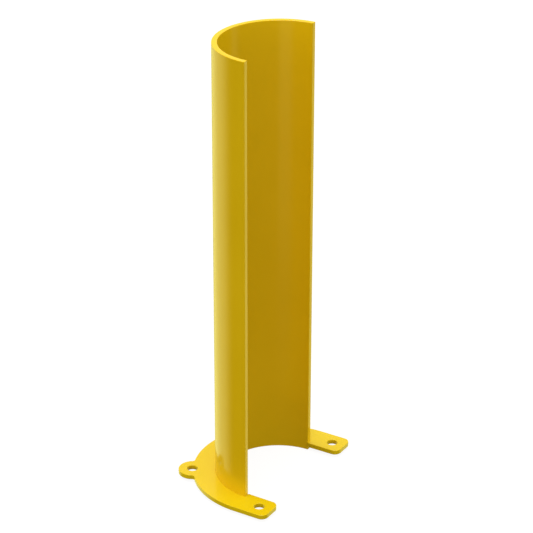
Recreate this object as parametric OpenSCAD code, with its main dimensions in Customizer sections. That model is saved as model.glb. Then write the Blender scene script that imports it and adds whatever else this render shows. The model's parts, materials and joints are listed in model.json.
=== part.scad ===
// Half-round steel guard for a column or a riser pipe.
// Half of a steel pipe stands upright in the notch of a flat base plate. The plate is a
// crescent with two straight ears on the open side and two rounded tabs on the round side,
// each drilled for one floor anchor. The shield reaches a little below the plate, and two
// fillet weld runs in that recess join them, so no bead shows from above.
// The origin is on the pipe's axis at the floor, +Z is up, and the open side faces -Y.

/* [Shield] */
// Outer diameter of the pipe that the shield is one half of
pipe_od = 168.3; // [141.3:0.1:219.1]
// Wall thickness of the pipe
pipe_wall = 7.1; // [5.5:0.1:9.5]
// Length of the shield, from the floor to its rim
shield_length = 609.6; // [304.8:0.1:1219.2]

/* [Base plate] */
// Thickness of the plate
plate_thickness = 6.35; // [4.75:0.05:12.7]
// Height of the plate's underside above the bottom of the shield
plate_standoff = 4.75; // [3:0.05:8]
// Width of the plate outside the shield
plate_margin = 29.4; // [24:0.1:45]
// Gap between the plate's notch and the shield
fit_gap = 0.3; // [0.1:0.05:0.8]

/* [Ears] */
// Length of the ears past the cut faces of the shield
ear_length = 46.4; // [38:0.1:75]
// How far the inner edge of an ear stands inside the shield's inner wall
ear_lip = 0.85; // [0.4:0.05:3]
// Radius of the corners at the tips of the ears
ear_corner_r = 9.5; // [3:0.1:14]

/* [Tabs] */
// Angle of each tab from the middle of the round side
tab_angle = 31.6; // [22:0.1:42]
// Radius of the rounded end of a tab
tab_r = 18.5; // [14:0.1:22]
// Distance of a tab's anchor hole outside the plate's round edge
tab_reach = 0.8; // [0:0.1:12]
// Radius of the blend between a tab and the round edge
tab_blend_r = 3.5; // [1:0.1:8]

/* [Anchor holes] */
// Diameter of the anchor holes
hole_d = 14; // [9:0.1:18]
// Distance from the tip of an ear to the middle of its hole
ear_hole_inset = 18.8; // [14:0.1:28]

/* [Welds] */
// Height of the weld's lower toe above the floor
weld_floor_gap = 0.75; // [0.3:0.05:1.5]
// Distance that each weld run stops short of the cut face, along the pipe
weld_end_gap = 8; // [2:0.5:30]

/* [Hidden] */
$fn = 180;
pipe_r = pipe_od / 2;
bore_r = pipe_r - pipe_wall;
plate_r = pipe_r + plate_margin;
notch_r = pipe_r + fit_gap;
ear_inner_x = bore_r - ear_lip;
ear_width = plate_r - ear_inner_x;
ear_hole_x = ear_inner_x + ear_width / 2;
ear_hole_y = ear_hole_inset - ear_length;
tab_hole_r = plate_r + tab_reach;
// A blend's middle stands one reach from the plate's round edge and from the tab's rounded
// end. The reach is a little under the blend's radius, so the blend runs into both edges.
blend_overlap = 0.02;
blend_reach = tab_blend_r - blend_overlap;
blend_along = (pow(plate_r + blend_reach, 2) - pow(tab_r + blend_reach, 2) + pow(tab_hole_r, 2))
    / (2 * tab_hole_r);
blend_across = sqrt(pow(plate_r + blend_reach, 2) - pow(blend_along, 2));
weld_leg = plate_standoff - weld_floor_gap;
weld_end_angle = weld_end_gap / pipe_r * 180 / PI;
weld_sweep = 90 - weld_end_angle;
// How far the open way between the ears is cut past the plate, so that no film is left
cut_past = 1;

// One half of the pipe, cut along its length; both cut faces lie in the plane y = 0.
module half_pipe_shield() {
    color("gold")
        rotate_extrude(angle = 180)
            translate([bore_r, 0])
                square([pipe_wall, shield_length]);
}

// Crescent, ears and tabs as one flat plate with the notch and the four anchor holes cut out.
module base_plate() {
    color("goldenrod")
        translate([0, 0, plate_standoff])
            linear_extrude(plate_thickness)
                difference() {
                    union() {
                        round_side();
                        for (side = [-1, 1]) {
                            scale_x(side) ear_outline();
                            rotate(side * tab_angle) tab_outline();
                        }
                    }
                    notch_outline();
                    for (side = [-1, 1]) {
                        translate([side * ear_hole_x, ear_hole_y]) circle(d = hole_d);
                        rotate(side * tab_angle) translate([0, tab_hole_r]) circle(d = hole_d);
                    }
                }
}

// The plate's round edge, carried on into the middle of the ears.
module round_side() {
    intersection() {
        circle(plate_r);
        translate([-plate_r, -ear_length / 2]) square([2 * plate_r, plate_r + ear_length / 2]);
    }
}

// Outline mirrored to the left when side is -1.
module scale_x(side) {
    if (side < 0) mirror([1, 0]) children();
    else children();
}

// The right ear: a strip with two rounded corners at its tip.
module ear_outline() {
    translate([ear_inner_x, -ear_length]) {
        translate([0, ear_corner_r]) square([ear_width, ear_length - ear_corner_r]);
        translate([ear_corner_r, 0]) square([ear_width - 2 * ear_corner_r, ear_corner_r]);
        for (x = [ear_corner_r, ear_width - ear_corner_r])
            translate([x, ear_corner_r]) circle(ear_corner_r);
    }
}

// A tab that points along +Y, blended into the plate's round edge on both sides.
module tab_outline() {
    translate([0, tab_hole_r]) circle(tab_r);
    for (side = [-1, 1])
        scale_x(side)
            difference() {
                polygon([[0, 0], [blend_across, blend_along], [0, tab_hole_r]]);
                translate([blend_across, blend_along]) circle(tab_blend_r);
            }
}

// What is cut out of the plate: the seat of the shield, and the open way between the ears.
module notch_outline() {
    intersection() {
        circle(notch_r);
        translate([-notch_r, -fit_gap]) square([2 * notch_r, notch_r + fit_gap]);
    }
    translate([-ear_inner_x, -ear_length - cut_past])
        square([2 * ear_inner_x, ear_length + 2 * cut_past]);
}

// A fillet weld under the plate against the shield's outer wall, from the middle of the
// round side towards one cut face.
module weld_run(start_angle) {
    color("darkgoldenrod")
        rotate([0, 0, start_angle])
            rotate_extrude(angle = weld_sweep)
                polygon([
                    [pipe_r, plate_standoff],
                    [pipe_r, plate_standoff - weld_leg],
                    [pipe_r + weld_leg, plate_standoff]
                ]);
}

module weld_run_left() {
    weld_run(90);
}

module weld_run_right() {
    weld_run(weld_end_angle);
}

half_pipe_shield();
base_plate();
weld_run_left();
weld_run_right();
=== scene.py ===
import json
import math

import bmesh
import bpy
from mathutils import Matrix, Vector


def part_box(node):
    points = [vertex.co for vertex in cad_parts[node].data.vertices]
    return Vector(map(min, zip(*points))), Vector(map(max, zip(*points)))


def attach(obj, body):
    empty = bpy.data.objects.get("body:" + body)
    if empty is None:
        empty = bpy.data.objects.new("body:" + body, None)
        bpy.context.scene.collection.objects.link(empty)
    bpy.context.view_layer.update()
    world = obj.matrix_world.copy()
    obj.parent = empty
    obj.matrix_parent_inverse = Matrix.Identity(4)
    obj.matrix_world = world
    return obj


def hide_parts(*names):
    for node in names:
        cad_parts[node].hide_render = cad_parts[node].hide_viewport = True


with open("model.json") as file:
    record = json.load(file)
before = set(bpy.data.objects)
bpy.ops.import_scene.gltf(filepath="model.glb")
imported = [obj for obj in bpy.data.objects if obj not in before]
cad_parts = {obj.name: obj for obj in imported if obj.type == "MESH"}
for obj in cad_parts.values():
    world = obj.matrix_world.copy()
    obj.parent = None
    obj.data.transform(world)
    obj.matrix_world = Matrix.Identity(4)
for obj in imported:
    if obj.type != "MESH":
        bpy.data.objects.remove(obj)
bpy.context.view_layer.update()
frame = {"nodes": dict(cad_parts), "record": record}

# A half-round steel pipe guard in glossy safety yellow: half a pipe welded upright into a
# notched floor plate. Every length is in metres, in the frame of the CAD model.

MM = 0.001


# ---------------------------------------------------------------- sizes read from the frame

def node_points(node):
    """The corners of a CAD node's mesh."""
    return [vertex.co for vertex in frame["nodes"][node].data.vertices]


def radius(point):
    """Distance of a point from the pipe's axis."""
    return math.hypot(point.x, point.y)


def mount(name):
    """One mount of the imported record."""
    return next(m for m in frame["record"]["mounts"] if m["name"] == name)


def hole_pair(name):
    """The middle of the right-hand hole of a pair, and the radius of both."""
    m = mount(name)
    spacing = m["dims"]["spacing_x_mm"] * MM
    return Vector((spacing / 2, m["pos_m"][1])), m["dims"]["hole_r_mm"] * MM


SHIELD_LOW, SHIELD_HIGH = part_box("half_pipe_shield")
PLATE_LOW, PLATE_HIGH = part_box("base_plate")
WELD_LOW, WELD_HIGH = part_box("weld_run_left")

PIPE_R = SHIELD_HIGH.x
BORE_R = min(radius(p) for p in node_points("half_pipe_shield"))
PLATE_R = PLATE_HIGH.x
EAR_ROOT_Y = -1 * MM  # all that lies in front of this belongs to the ears
EAR_INNER_X = min(abs(p.x) for p in node_points("base_plate") if p.y < EAR_ROOT_Y)
EAR_HOLE, HOLE_R = hole_pair("ear_anchor_holes")
TAB_HOLE, _ = hole_pair("tab_anchor_holes")
TAB_ANGLE = math.degrees(math.atan2(TAB_HOLE.y, TAB_HOLE.x))
TAB_R = PLATE_HIGH.y - TAB_HOLE.y
WELD_LEG = WELD_HIGH.z - WELD_LOW.z

EAR_CORNER_R = 9.5 * MM
TAB_BLEND_R = 3.5 * MM
COAT_SEAM = 0.05 * MM  # what the coat leaves of the gap between plate and shield
EDGE_R = 0.7 * MM  # the coat rounds every cut edge
CORNER_R = 1.0 * MM  # and the shield's four upright edges
SEAM_EDGE_R = 0.15 * MM  # and nearly fills the corner where the plate meets the shield
SEAT_MARGIN = 1 * MM  # how far past the shield's outside an edge still counts as its seat
EDGE_STEPS = 4  # faces across a rounded edge


# ---------------------------------------------------------------- outlines in plan

def arc(centre, r, start, end, step=2.0):
    """Points on an arc, about step degrees apart; it runs clockwise if end is below start."""
    count = max(2, math.ceil(abs(end - start) / step))
    angles = [math.radians(start + (end - start) * i / count) for i in range(count + 1)]
    return [Vector((centre[0] + r * math.cos(a), centre[1] + r * math.sin(a))) for a in angles]


def heading(origin, target):
    """Direction from one point to another, in degrees from 0 to 360."""
    return math.degrees(math.atan2(target.y - origin.y, target.x - origin.x)) % 360


def turned(points, degrees):
    """Points turned about the pipe's axis."""
    turn = Matrix.Rotation(math.radians(degrees), 2)
    return [turn @ p for p in points]


def tab_outline():
    """A tab on the +X axis, counter-clockwise: a blend, the round end, a blend."""
    end = Vector((TAB_HOLE.length, 0))
    reach, end_reach = PLATE_R + TAB_BLEND_R, TAB_R + TAB_BLEND_R
    along = (reach**2 - end_reach**2 + end.x**2) / (2 * end.x)
    across = math.sqrt(reach**2 - along**2)
    low, high = Vector((along, -across)), Vector((along, across))
    axis = Vector((0, 0))
    opening = heading(end, high)
    points = arc(low, TAB_BLEND_R, heading(low, axis), heading(low, end), step=6)
    points += arc(end, TAB_R, -opening, opening, step=3)
    points += arc(high, TAB_BLEND_R, heading(high, end), heading(high, axis), step=6)
    return points, math.degrees(math.atan2(across, along))


def plate_outline():
    """The plate's outer loop, counter-clockwise from the tip of the right ear."""
    tip_y = PLATE_LOW.y + EAR_CORNER_R
    inner, outer = EAR_INNER_X + EAR_CORNER_R, PLATE_R - EAR_CORNER_R
    tab, half_tab = tab_outline()
    notch_r = PIPE_R + COAT_SEAM
    points = arc((inner, tip_y), EAR_CORNER_R, 180, 270, step=5)
    points += arc((outer, tip_y), EAR_CORNER_R, 270, 360, step=5)
    points += arc((0, 0), PLATE_R, 0, TAB_ANGLE - half_tab)
    points += turned(tab, TAB_ANGLE)
    points += arc((0, 0), PLATE_R, TAB_ANGLE + half_tab, 180 - TAB_ANGLE - half_tab)
    points += turned(tab, 180 - TAB_ANGLE)
    points += arc((0, 0), PLATE_R, 180 - TAB_ANGLE + half_tab, 180)
    points += arc((-outer, tip_y), EAR_CORNER_R, 180, 270, step=5)
    points += arc((-inner, tip_y), EAR_CORNER_R, 270, 360, step=5)
    points.append(Vector((-EAR_INNER_X, -COAT_SEAM)))
    points.append(Vector((-notch_r, -COAT_SEAM)))
    points += arc((0, 0), notch_r, 180, 0)
    points.append(Vector((notch_r, -COAT_SEAM)))
    points.append(Vector((EAR_INNER_X, -COAT_SEAM)))
    return clean(points)


def clean(points):
    """A loop without points that lie on each other."""
    near = 0.02 * MM
    return [p for i, p in enumerate(points) if (p - points[i - 1]).length > near]


def shield_outline():
    """The half ring, counter-clockwise, with its four upright corners rounded."""
    r, outer, inner = CORNER_R, PIPE_R - CORNER_R, BORE_R + CORNER_R
    outer_x, inner_x = math.sqrt(outer**2 - r**2), math.sqrt(inner**2 - r**2)
    outer_lean, inner_lean = math.degrees(math.asin(r / outer)), math.degrees(math.asin(r / inner))
    points = arc((0, 0), PIPE_R, outer_lean, 180 - outer_lean, step=1)
    points += arc((-outer_x, r), r, 180 - outer_lean, 270, step=18)
    points += arc((-inner_x, r), r, 270, 360 - inner_lean, step=18)
    points += arc((0, 0), BORE_R, 180 - inner_lean, inner_lean, step=1)
    points += arc((inner_x, r), r, 180 + inner_lean, 270, step=18)
    points += arc((outer_x, r), r, 270, 360 + outer_lean, step=18)
    return clean(points)


def hole_outline(centre):
    """A hole, clockwise."""
    return arc(centre, HOLE_R, 360, 0, step=5)[:-1]


def moved_in(loop, distances):
    """A loop moved towards the solid on its left, each point by its own distance."""
    least_cosine = 0.5  # the point of a sharp corner moves at most twice its distance
    moved = []
    for i, p in enumerate(loop):
        before = (p - loop[i - 1]).normalized().orthogonal()
        after = (loop[(i + 1) % len(loop)] - p).normalized().orthogonal()
        middle = (before + after).normalized()
        moved.append(p + middle * distances[i] / max(middle.dot(before), least_cosine))
    return moved


# ---------------------------------------------------------------- meshes

def finished(name, bm):
    """A bmesh as a smooth-shaded piece with flat faces kept flat, riding on the root."""
    bmesh.ops.recalc_face_normals(bm, faces=bm.faces[:])
    for face in bm.faces:
        face.smooth = True
    mesh = bpy.data.meshes.new(name)
    bm.to_mesh(mesh)
    bm.free()
    piece = bpy.data.objects.new(name, mesh)
    bpy.context.scene.collection.objects.link(piece)
    piece.modifiers.new("flat_faces", "WEIGHTED_NORMAL").weight = 100
    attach(piece, "root")
    return piece


def rounded_slab(name, loops, low, high, edge_r_at):
    """A slab from low to high with these loops, its upper and lower edges rounded."""
    bm = bmesh.new()
    rounds = [math.radians(90 * k / EDGE_STEPS) for k in range(EDGE_STEPS + 1)]
    rings = [(1 - math.sin(a), 1 - math.cos(a)) for a in rounds]
    ends = [[], []]
    for loop in loops:
        edge_r = [edge_r_at(p) for p in loop]
        rows = []
        for share, rise in rings:
            ring = moved_in(loop, [r * share for r in edge_r])
            rows.append([bm.verts.new((p.x, p.y, low + r * rise)) for p, r in zip(ring, edge_r)])
        for share, rise in reversed(rings):
            ring = moved_in(loop, [r * share for r in edge_r])
            rows.append([bm.verts.new((p.x, p.y, high - r * rise)) for p, r in zip(ring, edge_r)])
        for lower, upper in zip(rows, rows[1:]):
            for i in range(len(loop)):
                bm.faces.new((lower[i - 1], lower[i], upper[i], upper[i - 1]))
        for end, row in zip(ends, (rows[0], rows[-1])):
            end += [bm.edges.get((row[i - 1], row[i])) for i in range(len(loop))]
    for end, up in zip(ends, (-1, 1)):
        bmesh.ops.triangle_fill(bm, use_beauty=True, edges=end, normal=(0, 0, up))
    return finished(name, bm)


def shield():
    loops = [shield_outline()]
    piece = rounded_slab("shield", loops, SHIELD_LOW.z, SHIELD_HIGH.z, lambda p: EDGE_R)
    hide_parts("half_pipe_shield")
    return piece


def plate_edge_r(p):
    """Edge radius at a point of the plate's outline: small along the shield's seat."""
    along_seat = p.y > -2 * COAT_SEAM and radius(p) < PIPE_R + SEAT_MARGIN
    return SEAM_EDGE_R if along_seat else EDGE_R


def plate():
    holes = [EAR_HOLE, TAB_HOLE]
    mirrored = [Vector((-h.x, h.y)) for h in holes]
    loops = [plate_outline()] + [hole_outline(h) for h in holes + mirrored]
    piece = rounded_slab("plate", loops, PLATE_LOW.z, PLATE_HIGH.z, plate_edge_r)
    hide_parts("base_plate")
    return piece


def weld_bead(side, name, node):
    """A rippled fillet bead under the plate, from the middle of the round side to one end."""
    ripple_pitch = 2.6 * MM
    ripple_depth = 0.16 * MM
    ripple_lead = 0.45 * ripple_pitch  # how far a ripple's middle runs ahead of its ends
    crown = 0.1  # the bulge outwards plus the bulge downwards, as a share of the leg
    taper = 5 * MM
    least_size = 0.02  # the bead ends in a small face, not in a point
    across_steps, steps_per_ripple = 10, 8
    start = 90.0  # the middle of the round side
    end = math.degrees(math.asin(WELD_LOW.y / (PIPE_R + WELD_LEG / 2)))
    sweep = start - end
    length = math.radians(sweep) * PIPE_R
    steps = math.ceil(length / (ripple_pitch / steps_per_ripple))
    bm = bmesh.new()
    rows = []
    for i in range(steps + 1):
        s = length * i / steps
        angle = math.radians(start - sweep * i / steps)
        to_end = max(0.0, min((length - s) / taper, 1.0))
        size = min(1.0, math.sqrt(to_end) + least_size)
        leg = WELD_LEG * size
        row = [(PIPE_R, PLATE_LOW.z)]
        for k in range(across_steps + 1):
            t = k / across_steps
            hump = math.sin(math.pi * t)
            lead = hump * ripple_lead
            wave = 0.5 - 0.5 * math.cos(2 * math.pi * ((s - lead) / ripple_pitch))
            sag = ripple_depth * wave * hump * size
            bulge = crown * leg * hump - sag
            r = PIPE_R + leg * (1 - t) + bulge * 0.5
            z = PLATE_LOW.z - leg * t - bulge * 0.5
            row.append((min(r, PIPE_R + WELD_LEG), max(z, WELD_LOW.z)))
        ring = [(side * r * math.cos(angle), r * math.sin(angle), z) for r, z in row]
        rows.append([bm.verts.new(v) for v in ring])
    around = len(rows[0])
    for a, b in zip(rows, rows[1:]):
        for k in range(around):
            bm.faces.new((a[k - 1], a[k], b[k], b[k - 1]))
    bm.faces.new(rows[0])
    bm.faces.new(rows[-1])
    piece = finished(name, bm)
    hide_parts(node)
    return piece


# ---------------------------------------------------------------- materials

def node_adder(tree):
    """A function that adds a node to a tree: its inputs by name or number, then its settings."""
    def add(kind, inputs=(), **settings):
        node = tree.nodes.new(kind)
        for key, value in settings.items():
            setattr(node, key, value)
        for key, value in dict(inputs).items():
            if isinstance(value, bpy.types.NodeSocket):
                tree.links.new(value, node.inputs[key])
            else:
                node.inputs[key].default_value = value
        return node

    return add


def new_material(name):
    """A material, its Principled shader, its links and a function that adds nodes."""
    material = bpy.data.materials.new(name)
    material.use_nodes = True
    tree = material.node_tree
    return material, tree.nodes["Principled BSDF"], tree.links, node_adder(tree)


def powder_coat(name, deep, bright, peel):
    """Glossy powder coat: a slow change of tone, a finely changing roughness, and a surface
    with orange peel and a faint waviness. Noise scales are in features per metre."""
    material, shader, links, add = new_material(name)
    place = add("ShaderNodeTexCoord").outputs["Object"]
    slow = add("ShaderNodeTexNoise", {"Vector": place, "Scale": 7.0, "Detail": 3.0})
    fine = add("ShaderNodeTexNoise", {"Vector": place, "Scale": 900.0, "Detail": 2.0})
    orange_peel = add("ShaderNodeTexNoise", {"Vector": place, "Scale": 420.0, "Detail": 1.0})
    waviness = add("ShaderNodeTexNoise", {"Vector": place, "Scale": 60.0, "Detail": 1.0})
    tone = add("ShaderNodeMapRange", {"Value": slow.outputs["Fac"], "From Min": 0.3,
                                      "From Max": 0.7})
    colour = add("ShaderNodeMix", {"Factor": tone.outputs["Result"]}, data_type="RGBA")
    colour.inputs[6].default_value = (*deep, 1)
    colour.inputs[7].default_value = (*bright, 1)
    rough = add("ShaderNodeMapRange", {"Value": fine.outputs["Fac"], "From Min": 0.3,
                                       "From Max": 0.7, "To Min": 0.15, "To Max": 0.22})
    wave = add("ShaderNodeBump", {"Height": waviness.outputs["Fac"], "Strength": 0.25,
                                  "Distance": 0.00015})
    bump = add("ShaderNodeBump", {"Height": orange_peel.outputs["Fac"], "Strength": peel,
                                  "Distance": 0.00006, "Normal": wave.outputs["Normal"]})
    links.new(colour.outputs[2], shader.inputs["Base Color"])
    links.new(rough.outputs["Result"], shader.inputs["Roughness"])
    links.new(bump.outputs["Normal"], shader.inputs["Normal"])
    shader.inputs["Metallic"].default_value = 0.0
    shader.inputs["IOR"].default_value = 1.5
    return material


# ---------------------------------------------------------------- stage, light and camera

def floor(level):
    """A plain pale floor that glows almost white, so shadows on it stay faint. The object
    isn't lit by it and doesn't mirror it."""
    bpy.ops.mesh.primitive_plane_add(size=30, location=(0, 0, level))
    plane = bpy.context.object
    plane.name = "floor"
    plane.visible_diffuse = False
    plane.visible_glossy = False
    material, shader, _, _ = new_material("pale_floor")
    material.cycles.emission_sampling = "NONE"
    shader.inputs["Base Color"].default_value = (0.12, 0.12, 0.12, 1)
    shader.inputs["Roughness"].default_value = 1.0
    shader.inputs["Specular IOR Level"].default_value = 0.0
    shader.inputs["Emission Color"].default_value = (1, 1, 1, 1)
    shader.inputs["Emission Strength"].default_value = 0.92
    plane.data.materials.append(material)


def soft_box():
    """One large soft box almost overhead, a little to the left, turned towards the object."""
    azimuth, elevation, distance = math.radians(165), math.radians(82), 9.0
    away = Vector((math.cos(azimuth) * math.cos(elevation),
                   math.sin(azimuth) * math.cos(elevation), math.sin(elevation)))
    light = bpy.data.lights.new("soft_box", "AREA")
    light.shape = "SQUARE"
    light.size = 6.0
    light.energy = 445
    box = bpy.data.objects.new("soft_box", light)
    box.location = away * distance
    box.rotation_euler = away.to_track_quat("Z", "Y").to_euler()
    bpy.context.scene.collection.objects.link(box)


def studio():
    """A pale surround for the camera, a white tent that lights the object, with bright walls
    and a dimmer roof and ground, and upright warm sheets of light that only the glossy coat
    mirrors. The wide sheet is at the object's right and behind it, the narrow one at its left
    and the faint strip in front. Azimuths run from +X towards +Y."""
    world = bpy.data.worlds.new("studio")
    bpy.context.scene.world = world
    world.use_nodes = True
    tree = world.node_tree
    add = node_adder(tree)
    way = add("ShaderNodeTexCoord").outputs["Generated"]
    flat = add("ShaderNodeVectorMath", {0: way, 1: (1, 1, 0)}, operation="MULTIPLY")
    compass = add("ShaderNodeVectorMath", {0: flat.outputs[0]}, operation="NORMALIZE").outputs[0]
    height = add("ShaderNodeSeparateXYZ", {0: way}).outputs["Z"]

    def by_height(low, high, at_low, at_high):
        """A value that changes between two heights; 0 is level and 1 is straight up."""
        return add("ShaderNodeMapRange", {"Value": height, "From Min": low, "From Max": high,
                                          "To Min": at_low, "To Max": at_high}).outputs["Result"]

    def sheet_of_light(azimuth, inner, outer, strength):
        """Full strength within the inner angle of an azimuth, none beyond the outer one."""
        a = math.radians(azimuth)
        towards = add("ShaderNodeVectorMath", {0: compass, 1: (math.cos(a), math.sin(a), 0)},
                      operation="DOT_PRODUCT")
        fade = add("ShaderNodeMapRange", {"Value": towards.outputs["Value"],
                                          "From Min": math.cos(math.radians(outer)),
                                          "From Max": math.cos(math.radians(inner)),
                                          "To Max": strength},
                   interpolation_type="SMOOTHSTEP")
        return fade.outputs["Result"]

    def total(first, *others):
        """The sum of some values."""
        for other in others:
            first = add("ShaderNodeMath", {0: first, 1: other}).outputs[0]
        return first

    wide = sheet_of_light(30, 66, 92, by_height(0, 0.3, 1.5, 1.2))
    gap = sheet_of_light(31, 2, 30, by_height(-0.2, 0, -0.6, 0))  # dims the wide one low down
    narrow = sheet_of_light(200, 7, 18, by_height(-0.47, -0.33, 0, 0.75))
    strip = sheet_of_light(301, 3, 8, 0.3)
    walls = by_height(0, 0.05, 0.12, 1.42)
    roof = by_height(0, 1, 0, -0.95)

    white, warm = (1, 1, 1, 1), (1, 1, 0.35, 1)
    mirrored = add("ShaderNodeBackground", {"Color": warm,
                                            "Strength": total(wide, gap, narrow, strip)})
    tent = add("ShaderNodeBackground", {"Color": white, "Strength": total(walls, roof)})
    seen = add("ShaderNodeBackground", {"Color": white, "Strength": 1.0})
    ray = add("ShaderNodeLightPath")
    lit = add("ShaderNodeMixShader", {0: ray.outputs["Is Glossy Ray"], 1: tent.outputs[0],
                                      2: mirrored.outputs[0]})
    shown = add("ShaderNodeMixShader", {0: ray.outputs["Is Camera Ray"], 1: lit.outputs[0],
                                        2: seen.outputs[0]})
    tree.links.new(shown.outputs[0], tree.nodes["World Output"].inputs["Surface"])
    bpy.context.scene.view_settings.view_transform = "Standard"


def camera():
    """A long lens at the photograph's viewing angle, left of the open side and above it.
    Azimuth 0 faces the open side."""
    azimuth, elevation, roll = math.radians(-58.84), math.radians(25.75), math.radians(0.11)
    distance = 2.7313
    target = Vector((-0.0073, 0.015, 0.3071))
    back = Vector((math.sin(azimuth) * math.cos(elevation),
                   -math.cos(azimuth) * math.cos(elevation), math.sin(elevation)))
    level = Vector((math.cos(azimuth), math.sin(azimuth), 0))
    upright = back.cross(level)
    right = level * math.cos(roll) + upright * math.sin(roll)
    up = upright * math.cos(roll) - level * math.sin(roll)
    data = bpy.data.cameras.new("camera")
    data.lens = 145.4
    data.sensor_width = 36
    eye = bpy.data.objects.new("camera", data)
    turn = Matrix((right, up, back)).transposed()
    eye.matrix_world = Matrix.Translation(target + back * distance) @ turn.to_4x4()
    bpy.context.scene.collection.objects.link(eye)
    bpy.context.scene.camera = eye


# ---------------------------------------------------------------- the scene

camera()
soft_box()
studio()
floor(SHIELD_LOW.z)

pieces = {
    "half_pipe_shield": shield(),
    "base_plate": plate(),
    "weld_run_left": weld_bead(-1, "weld_bead_left", "weld_run_left"),
    "weld_run_right": weld_bead(1, "weld_bead_right", "weld_run_right"),
}
# The plate has the same coat as the shield. Its copy is greener, as painted light: it stands in
# for the strong light on the flat plate that makes it look a touch more lemon than the upright
# shield.
yellow = (0.83, 0.52, 0.003), (0.87, 0.55, 0.005)
plate_yellow_with_painted_light = (0.80, 0.555, 0.004), (0.84, 0.585, 0.006)
shield_coat = powder_coat("yellow_shield_coat", *yellow, peel=0.3)
# the shield's yellow made greener: painted light for the brightly lit flat plate
painted_light_plate_paint = powder_coat("yellow_coat_with_painted_light_on_plate", *plate_yellow_with_painted_light, peel=0.3)
weld_coat = powder_coat("yellow_weld_coat", *yellow, peel=0.5)
coats = {"half_pipe_shield": shield_coat, "base_plate": painted_light_plate_paint,
         "weld_run_left": weld_coat, "weld_run_right": weld_coat}
for name, coat in coats.items():
    pieces[name].data.materials.append(coat)
    solid = frame["nodes"][name].data
    solid.materials.clear()
    solid.materials.append(coat)
